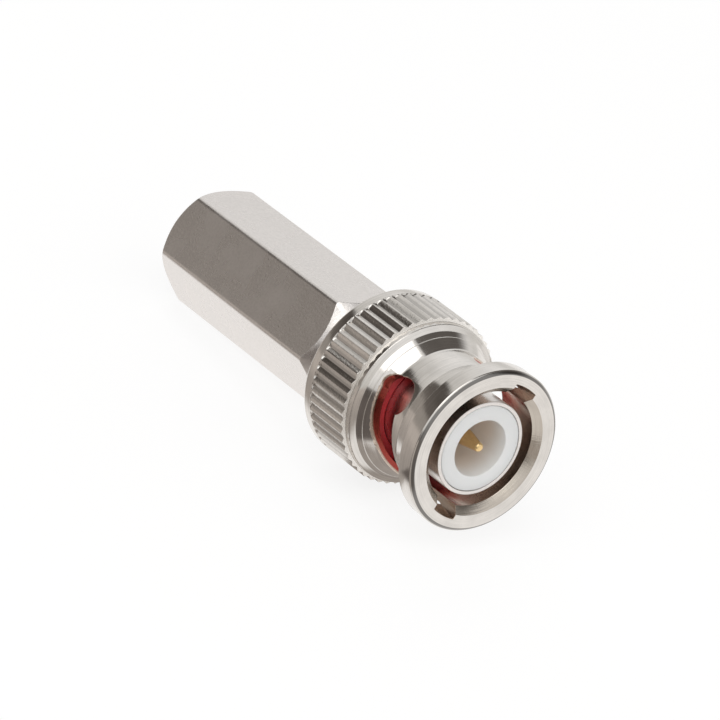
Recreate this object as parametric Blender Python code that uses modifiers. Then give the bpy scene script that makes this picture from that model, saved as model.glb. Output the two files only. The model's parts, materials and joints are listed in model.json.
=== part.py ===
"""Male BNC plug of the twist-on cable type, lying on its side.

The plug is modelled about its own axis, front end up, and then laid down by one empty: it rests on the
coupling ring and on the rear edge of the hexagonal body. Depths are measured back from the front face
of the coupling ring, and radii from the plug's axis. Angles count from straight down, anticlockwise
seen from the front.
"""

import math

import bmesh
import bpy
from mathutils import Matrix, Vector

MM = 0.001

# Coupling ring
RING_LENGTH = 14.4 * MM
RING_BORE_RADIUS = 4.9 * MM
RING_MOUTH_RADIUS = 5.5 * MM
RING_MOUTH_DEPTH = 0.6 * MM
FLANGE_RADIUS = 6.9 * MM
FLANGE_EDGE = 0.26 * MM
FLANGE_REAR_DEPTH = 1.75 * MM
FLANGE_FILLET = 0.5 * MM
BARREL_RADIUS = 5.47 * MM
NOSE_START_DEPTH = 6.95 * MM
NOSE_FILLET = 1.5 * MM
NOSE_RADIUS = 6.3 * MM
NOSE_BAND_RADIUS = 6.62 * MM
NOSE_BAND_DEPTH = 8.66 * MM
NOSE_GROOVE = 0.07 * MM
NOSE_CONE_DEPTH = 9.12 * MM
NOSE_CONE_RADIUS = 6.98 * MM
KNURL_RADIUS = 7.25 * MM
KNURL_SHOULDER_DEPTH = 9.45 * MM
RIM_ROUND = 0.3 * MM
LIP_THICKNESS = 1.2 * MM
LIP_EDGE = 0.15 * MM

# Knurl on the coupling ring
KNURL_COUNT = 52
KNURL_FRONT_DEPTH = 9.55 * MM
KNURL_REAR_MARGIN = 0.9 * MM
KNURL_GROOVE_DEPTH = 0.3 * MM
KNURL_RIDGE_WIDTH = 0.22 * MM
KNURL_FLANK_WIDTH = 0.09 * MM
KNURL_RUN_OUT = 0.15 * MM
KNURL_PHASE = math.radians(1.9)

# Bayonet slots in the coupling ring
SLOT_WIDTH = 2.35 * MM
SLOT_ROOF_RADIUS = 5.84 * MM
SLOT_MOUTH_RADIUS = 5.86 * MM
SLOT_THROAT_RADIUS = 5.55 * MM
SLOT_THROAT_DEPTH = 2.0 * MM
SLOT_ENTRY_ANGLE = math.radians(150.9)
SLOT_ENTRY_END_DEPTH = 4.93 * MM
SLOT_TURN = math.radians(93.0)
SLOT_RISE = 1.79 * MM
DETENT_TURN = math.radians(89.2)
DETENT_DEPTH = 5.94 * MM
DETENT_RADIUS = 1.55 * MM
SLOT_STEPS = 20

# Plug body, one piece from the sleeve's tip to the cable end
PLUG_LENGTH = 38.8 * MM
SLEEVE_TIP_DEPTH = 0.6 * MM
SLEEVE_RADIUS = 4.0 * MM
SLEEVE_BORE_RADIUS = 3.68 * MM
SLEEVE_EDGE = 0.1 * MM
SLEEVE_BORE_DEPTH = 7.2 * MM
CAVITY_RADIUS = 3.0 * MM
CAVITY_SETBACK = 0.7 * MM
WEB_HOLE_RADIUS = 1.95 * MM
WEB_THICKNESS = 2.3 * MM
COLLAR_RADIUS = 4.4 * MM
COLLAR_LENGTH = 2.5 * MM
HEX_ACROSS_FLATS = 9.4 * MM
HEX_CORNER_RADIUS = 5.36 * MM
REAR_FACE_RADIUS = 4.62 * MM
CABLE_BORE_RADIUS = 3.1 * MM
CABLE_MOUTH_RADIUS = 3.5 * MM
CABLE_BORE_FLOOR_SLOPE = 0.9 * MM

# Face gasket and snap ring
GASKET_THICKNESS = 1.05 * MM
GASKET_EDGE = 0.12 * MM
SNAP_RING_THICKNESS = 0.6 * MM
SNAP_RING_WALL = 0.85 * MM
SNAP_GROOVE_FLOOR = 0.3 * MM
SNAP_RING_GAP = 1.6 * MM

# Washers between the snap ring and the coupling ring's lip
WASHER_THICKNESS = 0.4 * MM
WAVE_HEIGHT = 1.2 * MM
WAVE_STRIP_THICKNESS = 0.25 * MM
WAVE_COUNT = 3

# Front insulator, and the rear insulator's bush behind it
INSULATOR_BORE_RADIUS = 2.4 * MM
INSULATOR_FLOOR_DEPTH = 6.3 * MM
BUSH_LENGTH = 3.78 * MM
INSULATOR_EDGE = 0.06 * MM

# Centre pin
PIN_RADIUS = 0.675 * MM
PIN_TIP_DEPTH = 0.62 * MM
PIN_TIP_RADIUS = 0.38 * MM
PIN_TIP_ROUND = 0.25 * MM
PIN_TAPER_LENGTH = 1.9 * MM
PIN_COLLAR_RADIUS = 1.2 * MM
PIN_COLLAR_LENGTH = 2.7 * MM
PIN_COLLAR_SETBACK = 0.1 * MM
PIN_TAIL_RADIUS = 0.95 * MM
PIN_TAIL_SETBACK = 0.3 * MM
PIN_SOCKET_RADIUS = 0.45 * MM
PIN_SOCKET_DEPTH = 3.4 * MM
PIN_SLIT_WIDTH = 0.2 * MM
PIN_SLIT_LENGTH = 2.2 * MM

# Clearances
FACE_GAP = 0.02 * MM
FIXED_FIT = 0.03 * MM
LIP_CLEARANCE = 0.06 * MM
BORE_CLEARANCE = 0.1 * MM
CUT_MARGIN = 1.0 * MM

# Facets
RING_SEGMENTS = 104
BODY_SEGMENTS = 72
SMALL_SEGMENTS = 48
PIN_SEGMENTS = 24
HOLE_SEGMENTS = 28
ROOF_SEGMENTS = 96
FILLET_STEPS = 5
POINT_MERGE = 0.001 * MM

# Sizes worked out from the ones above
HEX_APOTHEM = HEX_ACROSS_FLATS / 2
LIP_FRONT_DEPTH = RING_LENGTH - LIP_THICKNESS
LIP_BORE_RADIUS = SLEEVE_RADIUS + LIP_CLEARANCE
COLLAR_DEPTH = RING_LENGTH + FACE_GAP
HEX_CONE_DEPTH = COLLAR_DEPTH + COLLAR_LENGTH
CAVITY_DEPTH = HEX_CONE_DEPTH - CAVITY_SETBACK
KNURL_REAR_DEPTH = RING_LENGTH - KNURL_REAR_MARGIN
STACK_REAR_DEPTH = LIP_FRONT_DEPTH - FACE_GAP
STACK_FRONT_DEPTH = STACK_REAR_DEPTH - 3 * WASHER_THICKNESS - 2 * WAVE_HEIGHT - 4 * FACE_GAP
SNAP_RING_REAR_DEPTH = STACK_FRONT_DEPTH - FACE_GAP
SNAP_RING_DEPTH = SNAP_RING_REAR_DEPTH - SNAP_RING_THICKNESS
GASKET_REAR_DEPTH = SNAP_RING_DEPTH - FACE_GAP
GASKET_FRONT_DEPTH = GASKET_REAR_DEPTH - GASKET_THICKNESS
SNAP_GROOVE_RADIUS = SLEEVE_RADIUS - SNAP_GROOVE_FLOOR
SNAP_RING_INNER_RADIUS = SNAP_GROOVE_RADIUS + FIXED_FIT
WASHER_INNER_RADIUS = SLEEVE_RADIUS + LIP_CLEARANCE
WASHER_OUTER_RADIUS = RING_BORE_RADIUS - BORE_CLEARANCE
GASKET_OUTER_RADIUS = RING_BORE_RADIUS - FIXED_FIT
INSULATOR_REAR_DEPTH = CAVITY_DEPTH - BUSH_LENGTH - 2 * FACE_GAP
PIN_COLLAR_REAR_DEPTH = INSULATOR_REAR_DEPTH - PIN_COLLAR_SETBACK
PIN_COLLAR_DEPTH = PIN_COLLAR_REAR_DEPTH - PIN_COLLAR_LENGTH
PIN_TAIL_DEPTH = CAVITY_DEPTH - PIN_TAIL_SETBACK
HEX_REAR_EDGE_DEPTH = PLUG_LENGTH - (HEX_APOTHEM - REAR_FACE_RADIUS)

NICKEL = (0.62, 0.60, 0.57)
SATIN_NICKEL = (0.55, 0.53, 0.50)
SPRING_STEEL = (0.45, 0.45, 0.46)
GOLD = (0.80, 0.58, 0.28)
RED_SILICONE = (0.55, 0.04, 0.05)
WHITE_PLASTIC = (0.86, 0.87, 0.86)
NATURAL_PLASTIC = (0.75, 0.73, 0.68)


def clear_scene():
    for obj in list(bpy.data.objects):
        bpy.data.objects.remove(obj, do_unlink=True)


def new_collection(name):
    collection = bpy.data.collections.new(name)
    bpy.context.scene.collection.children.link(collection)
    return collection


def principled(name, colour, roughness, metallic):
    material = bpy.data.materials.new(name)
    material.use_nodes = True
    shader = material.node_tree.nodes["Principled BSDF"]
    shader.inputs["Base Color"].default_value = (*colour, 1.0)
    shader.inputs["Roughness"].default_value = roughness
    shader.inputs["Metallic"].default_value = metallic
    return material


def arc(centre_radius, centre_depth, radius, start, end, steps):
    """Points of an arc in the turning plane; its angle counts from outward towards the rear."""
    points = []
    for step in range(steps + 1):
        angle = start + (end - start) * step / steps
        points.append((centre_radius + radius * math.cos(angle), centre_depth + radius * math.sin(angle)))
    return points


def turned(name, outline, segments, material, closed=True):
    """Turn an outline of (radius, depth) points; it runs from the front back along the outer side."""
    points = [(radius, 0.0, -depth) for radius, depth in outline]
    edges = [(index, index + 1) for index in range(len(points) - 1)]
    if closed:
        edges.append((len(points) - 1, 0))
    mesh = bpy.data.meshes.new(name)
    mesh.from_pydata(points, edges, [])
    obj = bpy.data.objects.new(name, mesh)
    parts.objects.link(obj)
    obj.parent = rest_frame
    mesh.materials.append(material)
    screw = obj.modifiers.new("Turning", "SCREW")
    screw.axis = "Z"
    screw.steps = segments
    screw.render_steps = segments
    screw.use_merge_vertices = True
    screw.merge_threshold = POINT_MERGE
    screw.use_smooth_shade = False
    return obj


def new_cutter(name, bm):
    mesh = bpy.data.meshes.new(name)
    bm.to_mesh(mesh)
    bm.free()
    obj = bpy.data.objects.new(name, mesh)
    cutters.objects.link(obj)
    obj.parent = rest_frame
    obj.hide_render = True
    obj.display_type = "WIRE"
    return obj


def cut(obj, cutter, operation="DIFFERENCE"):
    boolean = obj.modifiers.new(cutter.name, "BOOLEAN")
    boolean.operation = operation
    boolean.solver = "EXACT"
    boolean.object = cutter


def channel_cutter(name, angle, ends, roofs):
    """A straight stretch of a slot's entry: a bar with a round roof, which may narrow towards the rear."""
    front_depth, rear_depth = ends
    front_roof, rear_roof = roofs
    inner = RING_BORE_RADIUS - CUT_MARGIN
    outer = max(front_roof, rear_roof) + CUT_MARGIN
    length = rear_depth - front_depth
    middle = -(front_depth + rear_depth) / 2
    bar = box_cutter(name, (outer - inner, SLOT_WIDTH, length), ((outer + inner) / 2, 0.0, middle), angle)
    slope = (rear_roof - front_roof) / length
    bm = bmesh.new()
    bmesh.ops.create_cone(
        bm,
        cap_ends=True,
        segments=ROOF_SEGMENTS,
        radius1=rear_roof + slope * CUT_MARGIN,
        radius2=front_roof - slope * CUT_MARGIN,
        depth=length + 2 * CUT_MARGIN,
        matrix=Matrix.Translation((0.0, 0.0, middle)),
    )
    cut(bar, new_cutter(name + "_roof", bm), "INTERSECT")
    return bar


def box_cutter(name, size, centre, turn):
    """A box given before it is turned about the plug's axis."""
    bm = bmesh.new()
    placing = Matrix.Rotation(turn, 4, "Z") @ Matrix.Translation(centre) @ Matrix.Diagonal((*size, 1.0))
    bmesh.ops.create_cube(bm, size=1.0, matrix=placing)
    return new_cutter(name, bm)


def radial_hole_cutter(name, radius, inner, outer, angle, depth):
    """A round cutter whose axis stands square to the plug's axis."""
    bm = bmesh.new()
    placing = (
        Matrix.Rotation(angle, 4, "Z")
        @ Matrix.Translation(((inner + outer) / 2, 0.0, -depth))
        @ Matrix.Rotation(math.radians(90), 4, "Y")
    )
    bmesh.ops.create_cone(
        bm,
        cap_ends=True,
        segments=HOLE_SEGMENTS,
        radius1=radius,
        radius2=radius,
        depth=outer - inner,
        matrix=placing,
    )
    return new_cutter(name, bm)


def ramp_cutter(name, start_angle):
    """The curved part of a bayonet slot: a bar swept round the axis as it goes back."""
    inner = RING_BORE_RADIUS - CUT_MARGIN
    outer = FLANGE_RADIUS + CUT_MARGIN
    bm = bmesh.new()
    rings = []
    for step in range(SLOT_STEPS + 1):
        share = step / SLOT_STEPS
        angle = start_angle - SLOT_TURN * share
        middle = SLOT_ENTRY_END_DEPTH + SLOT_RISE * share
        front = middle - SLOT_WIDTH / 2
        rear = middle + SLOT_WIDTH / 2
        corners = [(inner, front), (outer, front), (outer, rear), (inner, rear)]
        ring = [bm.verts.new((r * math.cos(angle), r * math.sin(angle), -depth)) for r, depth in corners]
        rings.append(ring)
    for first, second in zip(rings, rings[1:]):
        for side in range(4):
            following = (side + 1) % 4
            bm.faces.new((first[side], first[following], second[following], second[side]))
    bm.faces.new(list(reversed(rings[0])))
    bm.faces.new(rings[-1])
    bmesh.ops.recalc_face_normals(bm, faces=bm.faces)
    return new_cutter(name, bm)


def cut_bayonet_slot(ring, name, entry_angle):
    """One slot: an entry that narrows under the flange, the ramp, its round end and the detent hole."""
    inner = RING_BORE_RADIUS - CUT_MARGIN
    outer = FLANGE_RADIUS + CUT_MARGIN
    end_angle = entry_angle - SLOT_TURN
    end_depth = SLOT_ENTRY_END_DEPTH + SLOT_RISE
    half_width = SLOT_WIDTH / 2
    overrun = CUT_MARGIN * (SLOT_MOUTH_RADIUS - SLOT_THROAT_RADIUS) / SLOT_THROAT_DEPTH
    mouth_ends = (-CUT_MARGIN, SLOT_THROAT_DEPTH + CUT_MARGIN)
    mouth_roofs = (SLOT_MOUTH_RADIUS + overrun, SLOT_THROAT_RADIUS - overrun)
    cut(ring, channel_cutter(name + "_mouth", entry_angle, mouth_ends, mouth_roofs))
    entry_ends = (SLOT_THROAT_DEPTH, SLOT_ENTRY_END_DEPTH)
    cut(ring, channel_cutter(name + "_entry", entry_angle, entry_ends, (SLOT_ROOF_RADIUS, SLOT_ROOF_RADIUS)))
    entry_end = radial_hole_cutter(
        name + "_entry_end", half_width, inner, SLOT_ROOF_RADIUS, entry_angle, SLOT_ENTRY_END_DEPTH
    )
    cut(ring, entry_end)
    cut(ring, ramp_cutter(name + "_ramp", entry_angle))
    cut(ring, radial_hole_cutter(name + "_ramp_end", half_width, inner, outer, end_angle, end_depth))
    detent_angle = entry_angle - DETENT_TURN
    cut(ring, radial_hole_cutter(name + "_detent", DETENT_RADIUS, inner, outer, detent_angle, DETENT_DEPTH))


def knurl_cutter():
    """All the knurl's grooves: bars with sloping flanks and ends, set between the ridges."""
    floor_radius = KNURL_RADIUS - KNURL_GROOVE_DEPTH
    outer_radius = KNURL_RADIUS + KNURL_GROOVE_DEPTH
    pitch = 2 * math.pi / KNURL_COUNT
    top_half_width = (KNURL_RADIUS * pitch - KNURL_RIDGE_WIDTH) / 2
    middle = (KNURL_FRONT_DEPTH + KNURL_REAR_DEPTH) / 2
    half_length = (KNURL_REAR_DEPTH - KNURL_FRONT_DEPTH) / 2
    bm = bmesh.new()
    for number in range(KNURL_COUNT):
        turn = Matrix.Rotation(KNURL_PHASE + pitch * (number + 0.5), 4, "Z")
        bar = bmesh.ops.create_cube(bm, size=2.0)
        for vert in bar["verts"]:
            outside, side, end = vert.co
            radius = outer_radius if outside > 0 else floor_radius
            half_width = top_half_width + outside * KNURL_FLANK_WIDTH
            length = half_length + outside * KNURL_RUN_OUT
            vert.co = turn @ Vector((radius, side * half_width, end * length - middle))
    return new_cutter("knurl_grooves", bm)


def ring_outline():
    fillet_turn = math.acos(1 - (NOSE_RADIUS - BARREL_RADIUS) / NOSE_FILLET)
    quarter = math.radians(90)
    outline = [
        (RING_MOUTH_RADIUS, 0.0),
        (FLANGE_RADIUS - FLANGE_EDGE, 0.0),
        (FLANGE_RADIUS, FLANGE_EDGE),
        (FLANGE_RADIUS, FLANGE_REAR_DEPTH),
    ]
    root_radius = BARREL_RADIUS + FLANGE_FILLET
    root_depth = FLANGE_REAR_DEPTH + FLANGE_FILLET
    outline += arc(root_radius, root_depth, FLANGE_FILLET, -quarter, -2 * quarter, FILLET_STEPS)
    nose_centre = BARREL_RADIUS + NOSE_FILLET
    nose_end = 2 * quarter - fillet_turn
    outline += arc(nose_centre, NOSE_START_DEPTH, NOSE_FILLET, 2 * quarter, nose_end, FILLET_STEPS)
    outline += [
        (NOSE_BAND_RADIUS, NOSE_BAND_DEPTH),
        (NOSE_BAND_RADIUS - NOSE_GROOVE, NOSE_BAND_DEPTH + NOSE_GROOVE),
        (NOSE_BAND_RADIUS + NOSE_GROOVE, NOSE_BAND_DEPTH + 2 * NOSE_GROOVE),
        (NOSE_CONE_RADIUS, NOSE_CONE_DEPTH),
        (KNURL_RADIUS, KNURL_SHOULDER_DEPTH),
    ]
    rim_radius = KNURL_RADIUS - RIM_ROUND
    rim_depth = RING_LENGTH - RIM_ROUND
    outline += arc(rim_radius, rim_depth, RIM_ROUND, 0.0, quarter, FILLET_STEPS - 2)
    outline += [
        (LIP_BORE_RADIUS + LIP_EDGE, RING_LENGTH),
        (LIP_BORE_RADIUS, RING_LENGTH - LIP_EDGE),
        (LIP_BORE_RADIUS, LIP_FRONT_DEPTH),
        (RING_BORE_RADIUS, LIP_FRONT_DEPTH),
        (RING_BORE_RADIUS, RING_MOUTH_DEPTH),
    ]
    return outline


def make_coupling_ring(material):
    ring = turned("coupling_ring", ring_outline(), RING_SEGMENTS, material)
    cut(ring, knurl_cutter())
    cut_bayonet_slot(ring, "slot_a", SLOT_ENTRY_ANGLE)
    cut_bayonet_slot(ring, "slot_b", SLOT_ENTRY_ANGLE + math.radians(180))


def make_plug_body(material):
    corner_front = HEX_CONE_DEPTH + HEX_CORNER_RADIUS - COLLAR_RADIUS
    corner_rear = PLUG_LENGTH - (HEX_CORNER_RADIUS - REAR_FACE_RADIUS)
    groove_front = SNAP_RING_DEPTH - FACE_GAP
    groove_rear = SNAP_RING_REAR_DEPTH + FACE_GAP
    mouth_edge = CABLE_MOUTH_RADIUS - CABLE_BORE_RADIUS
    web_rear = CAVITY_DEPTH + WEB_THICKNESS
    outline = [
        (SLEEVE_BORE_RADIUS + SLEEVE_EDGE, SLEEVE_TIP_DEPTH),
        (SLEEVE_RADIUS - SLEEVE_EDGE, SLEEVE_TIP_DEPTH),
        (SLEEVE_RADIUS, SLEEVE_TIP_DEPTH + SLEEVE_EDGE),
        (SLEEVE_RADIUS, groove_front),
        (SNAP_GROOVE_RADIUS, groove_front),
        (SNAP_GROOVE_RADIUS, groove_rear),
        (SLEEVE_RADIUS, groove_rear),
        (SLEEVE_RADIUS, COLLAR_DEPTH),
        (COLLAR_RADIUS, COLLAR_DEPTH),
        (COLLAR_RADIUS, HEX_CONE_DEPTH),
        (HEX_CORNER_RADIUS, corner_front),
        (HEX_CORNER_RADIUS, corner_rear),
        (REAR_FACE_RADIUS, PLUG_LENGTH),
        (CABLE_MOUTH_RADIUS, PLUG_LENGTH),
        (CABLE_BORE_RADIUS, PLUG_LENGTH - mouth_edge),
        (CABLE_BORE_RADIUS, web_rear + CABLE_BORE_FLOOR_SLOPE),
        (WEB_HOLE_RADIUS, web_rear),
        (WEB_HOLE_RADIUS, CAVITY_DEPTH),
        (CAVITY_RADIUS, CAVITY_DEPTH),
        (CAVITY_RADIUS, SLEEVE_BORE_DEPTH),
        (SLEEVE_BORE_RADIUS, SLEEVE_BORE_DEPTH),
        (SLEEVE_BORE_RADIUS, SLEEVE_TIP_DEPTH + SLEEVE_EDGE),
    ]
    body = turned("plug_body", outline, BODY_SEGMENTS, material)
    bm = bmesh.new()
    corner = HEX_APOTHEM / math.cos(math.radians(30))
    placing = Matrix.Translation((0.0, 0.0, -PLUG_LENGTH / 2))
    bmesh.ops.create_cone(
        bm,
        cap_ends=True,
        segments=6,
        radius1=corner,
        radius2=corner,
        depth=PLUG_LENGTH + 2 * CUT_MARGIN,
        matrix=placing,
    )
    cut(body, new_cutter("hexagonal_bar", bm), "INTERSECT")


def make_front_insulator(material):
    front_radius = SLEEVE_BORE_RADIUS - FIXED_FIT
    rear_radius = CAVITY_RADIUS - FIXED_FIT
    step_depth = SLEEVE_BORE_DEPTH - FACE_GAP
    pin_hole = PIN_RADIUS + FIXED_FIT
    collar_hole = PIN_COLLAR_RADIUS + FIXED_FIT
    outline = [
        (INSULATOR_BORE_RADIUS + INSULATOR_EDGE, SLEEVE_TIP_DEPTH),
        (front_radius - INSULATOR_EDGE, SLEEVE_TIP_DEPTH),
        (front_radius, SLEEVE_TIP_DEPTH + INSULATOR_EDGE),
        (front_radius, step_depth),
        (rear_radius, step_depth),
        (rear_radius, INSULATOR_REAR_DEPTH),
        (collar_hole, INSULATOR_REAR_DEPTH),
        (collar_hole, PIN_COLLAR_DEPTH - FACE_GAP),
        (pin_hole, PIN_COLLAR_DEPTH - FACE_GAP),
        (pin_hole, INSULATOR_FLOOR_DEPTH),
        (INSULATOR_BORE_RADIUS, INSULATOR_FLOOR_DEPTH),
        (INSULATOR_BORE_RADIUS, SLEEVE_TIP_DEPTH + INSULATOR_EDGE),
    ]
    turned("front_insulator", outline, SMALL_SEGMENTS, material)


def make_rear_insulator(material):
    front_depth = INSULATOR_REAR_DEPTH + FACE_GAP
    outer = CAVITY_RADIUS - FIXED_FIT
    inner = PIN_TAIL_RADIUS + FIXED_FIT
    outline = [
        (inner, front_depth),
        (outer, front_depth),
        (outer, CAVITY_DEPTH - FACE_GAP),
        (inner, CAVITY_DEPTH - FACE_GAP),
    ]
    turned("rear_insulator", outline, SMALL_SEGMENTS, material)


def make_centre_pin(material):
    round_centre = PIN_TIP_RADIUS - PIN_TIP_ROUND
    quarter = math.radians(90)
    outline = [(0.0, PIN_TIP_DEPTH)]
    outline += arc(round_centre, PIN_TIP_DEPTH + PIN_TIP_ROUND, PIN_TIP_ROUND, -quarter, 0.0, FILLET_STEPS)
    outline += [
        (PIN_RADIUS, PIN_TIP_DEPTH + PIN_TAPER_LENGTH),
        (PIN_RADIUS, PIN_COLLAR_DEPTH),
        (PIN_COLLAR_RADIUS, PIN_COLLAR_DEPTH),
        (PIN_COLLAR_RADIUS, PIN_COLLAR_REAR_DEPTH),
        (PIN_TAIL_RADIUS, PIN_COLLAR_REAR_DEPTH),
        (PIN_TAIL_RADIUS, PIN_TAIL_DEPTH),
        (PIN_SOCKET_RADIUS, PIN_TAIL_DEPTH),
        (PIN_SOCKET_RADIUS, PIN_TAIL_DEPTH - PIN_SOCKET_DEPTH),
        (0.0, PIN_TAIL_DEPTH - PIN_SOCKET_DEPTH - PIN_SOCKET_RADIUS),
    ]
    pin = turned("centre_pin", outline, PIN_SEGMENTS, material, closed=False)
    size = (2 * PIN_TAIL_RADIUS + CUT_MARGIN, PIN_SLIT_WIDTH, PIN_SLIT_LENGTH + CUT_MARGIN)
    centre = (0.0, 0.0, -(PIN_TAIL_DEPTH - PIN_SLIT_LENGTH) - size[2] / 2)
    cut(pin, box_cutter("pin_slit", size, centre, 0.0))


def make_face_gasket(material):
    inner = SLEEVE_RADIUS + FIXED_FIT
    outline = [
        (inner, GASKET_FRONT_DEPTH),
        (GASKET_OUTER_RADIUS - GASKET_EDGE, GASKET_FRONT_DEPTH),
        (GASKET_OUTER_RADIUS, GASKET_FRONT_DEPTH + GASKET_EDGE),
        (GASKET_OUTER_RADIUS, GASKET_REAR_DEPTH),
        (inner, GASKET_REAR_DEPTH),
    ]
    turned("face_gasket", outline, SMALL_SEGMENTS, material)


def flat_ring_outline(inner, outer, front_depth, thickness):
    rear_depth = front_depth + thickness
    return [(inner, front_depth), (outer, front_depth), (outer, rear_depth), (inner, rear_depth)]


def make_snap_ring(material):
    outer = SNAP_RING_INNER_RADIUS + SNAP_RING_WALL
    outline = flat_ring_outline(SNAP_RING_INNER_RADIUS, outer, SNAP_RING_DEPTH, SNAP_RING_THICKNESS)
    ring = turned("snap_ring", outline, SMALL_SEGMENTS, material)
    size = (outer, SNAP_RING_GAP, SNAP_RING_THICKNESS + CUT_MARGIN)
    centre = (SNAP_GROOVE_RADIUS, 0.0, -(SNAP_RING_DEPTH + SNAP_RING_THICKNESS / 2))
    cut(ring, box_cutter("snap_ring_gap", size, centre, math.radians(90)))


def make_flat_washer(name, front_depth, material):
    outline = flat_ring_outline(WASHER_INNER_RADIUS, WASHER_OUTER_RADIUS, front_depth, WASHER_THICKNESS)
    turned(name, outline, SMALL_SEGMENTS, material)


def make_wave_washer(name, front_depth, material):
    """A flat ring pressed into waves that fill the given height."""
    middle = front_depth + WAVE_HEIGHT / 2
    strip_front = middle - WAVE_STRIP_THICKNESS / 2
    outline = flat_ring_outline(WASHER_INNER_RADIUS, WASHER_OUTER_RADIUS, strip_front, WAVE_STRIP_THICKNESS)
    flat = turned(name + "_flat", outline, 2 * SMALL_SEGMENTS, material)
    evaluated = flat.evaluated_get(bpy.context.evaluated_depsgraph_get())
    mesh = bpy.data.meshes.new_from_object(evaluated)
    bpy.data.objects.remove(flat, do_unlink=True)
    mesh.name = name
    swing = (WAVE_HEIGHT - WAVE_STRIP_THICKNESS) / 2
    for vert in mesh.vertices:
        angle = math.atan2(vert.co.y, vert.co.x)
        vert.co.z += swing * math.cos(WAVE_COUNT * angle)
    obj = bpy.data.objects.new(name, mesh)
    parts.objects.link(obj)
    obj.parent = rest_frame


def make_washer_stack(steel):
    depth = STACK_FRONT_DEPTH
    make_flat_washer("front_washer", depth, steel)
    depth += WASHER_THICKNESS + FACE_GAP
    make_wave_washer("wave_washer_front", depth, steel)
    depth += WAVE_HEIGHT + FACE_GAP
    make_flat_washer("middle_washer", depth, steel)
    depth += WASHER_THICKNESS + FACE_GAP
    make_wave_washer("wave_washer_rear", depth, steel)
    depth += WAVE_HEIGHT + FACE_GAP
    make_flat_washer("thrust_washer", depth, steel)


def lay_down(frame):
    """Tilt the plug until the ring and the hexagon's rear edge touch the ground at z = 0."""
    tilt = max(
        math.atan2(radius - HEX_APOTHEM, HEX_REAR_EDGE_DEPTH - depth)
        for radius, depth in ring_outline()
    )
    front_reach = (FLANGE_RADIUS - FLANGE_EDGE) * math.sin(tilt)
    rear_reach = PLUG_LENGTH * math.cos(tilt) + REAR_FACE_RADIUS * math.sin(tilt)
    height = HEX_REAR_EDGE_DEPTH * math.sin(tilt) + HEX_APOTHEM * math.cos(tilt)
    frame.location = ((rear_reach - front_reach) / 2, 0.0, height)
    frame.rotation_euler = (0.0, math.radians(90) - tilt, 0.0)


clear_scene()
parts = new_collection("bnc_plug")
cutters = new_collection("cutters")
rest_frame = bpy.data.objects.new("rest_frame", None)
parts.objects.link(rest_frame)

bright_nickel = principled("bright_nickel", NICKEL, 0.22, 1.0)
satin_nickel = principled("satin_nickel", SATIN_NICKEL, 0.42, 1.0)
spring_steel = principled("spring_steel", SPRING_STEEL, 0.35, 1.0)
gold = principled("gold", GOLD, 0.25, 1.0)
red_silicone = principled("red_silicone", RED_SILICONE, 0.55, 0.0)
white_plastic = principled("white_plastic", WHITE_PLASTIC, 0.45, 0.0)
natural_plastic = principled("natural_plastic", NATURAL_PLASTIC, 0.5, 0.0)

make_plug_body(satin_nickel)
make_coupling_ring(bright_nickel)
make_front_insulator(white_plastic)
make_rear_insulator(natural_plastic)
make_centre_pin(gold)
make_face_gasket(red_silicone)
make_snap_ring(spring_steel)
make_washer_stack(spring_steel)
lay_down(rest_frame)
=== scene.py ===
"""Looks of a twist-on coaxial plug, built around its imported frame: turned and knurled nickel,
a hexagonal body, a white insulator, a gold pin and a red gasket on a white table."""

import json
import math
from collections import namedtuple

import bmesh
import bpy
from mathutils import Euler, Matrix, Vector, noise


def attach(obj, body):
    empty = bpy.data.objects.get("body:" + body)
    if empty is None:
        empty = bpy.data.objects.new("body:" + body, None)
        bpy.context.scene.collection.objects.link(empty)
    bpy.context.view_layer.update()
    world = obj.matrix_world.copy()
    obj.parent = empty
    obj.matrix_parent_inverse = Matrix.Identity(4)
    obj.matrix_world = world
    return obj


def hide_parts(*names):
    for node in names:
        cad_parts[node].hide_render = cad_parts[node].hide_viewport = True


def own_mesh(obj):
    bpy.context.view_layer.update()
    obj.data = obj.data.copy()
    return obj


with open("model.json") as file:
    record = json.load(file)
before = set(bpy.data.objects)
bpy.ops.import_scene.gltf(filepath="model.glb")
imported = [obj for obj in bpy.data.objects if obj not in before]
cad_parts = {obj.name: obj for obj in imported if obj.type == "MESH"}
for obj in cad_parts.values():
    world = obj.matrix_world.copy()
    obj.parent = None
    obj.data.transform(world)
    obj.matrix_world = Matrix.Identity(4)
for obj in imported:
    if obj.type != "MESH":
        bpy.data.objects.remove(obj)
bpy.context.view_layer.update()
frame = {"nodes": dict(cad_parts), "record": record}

MM = 0.001
QUARTER = math.radians(90)
FULL_TURN = 2 * math.pi

# Rounding of cut edges in millimetres, and how near two radii count as the same
FINE_ROUND = 0.03
SOFT_ROUND = 0.05
SAME_RADIUS = 1e-6

# The coupling ring: radii, and depths behind its front face, in millimetres
RING_LENGTH = 14.4
BORE_RADIUS = 4.9
MOUTH_RADIUS = 5.5
MOUTH_DEPTH = 0.6
FLANGE_RADIUS = 6.9
FLANGE_EDGE = 0.26
FLANGE_ROUND = 0.09
FLANGE_REAR = 1.75
FLANGE_REAR_ROUND = 0.06
FLANGE_FILLET = 0.5
BARREL_RADIUS = 5.47
TURNED_LINE_DEPTH = 4.1
TURNED_LINE_HALF = 0.03
TURNED_LINE_CUT = 0.012
NOSE_START = 6.95
NOSE_FILLET = 0.6
NOSE_LEDGE_RADIUS = 6.08
NOSE_LEDGE_DEPTH = 7.83
NOSE_LEDGE = 0.035
NOSE_LEDGE_SLANT = 0.01
NOSE_RADIUS = 6.39
NOSE_END = 8.28
NOSE_SLOPE = (NOSE_LEDGE_RADIUS - BARREL_RADIUS) / (NOSE_LEDGE_DEPTH - NOSE_START)
STEP_RADIUS = 6.86
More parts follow.
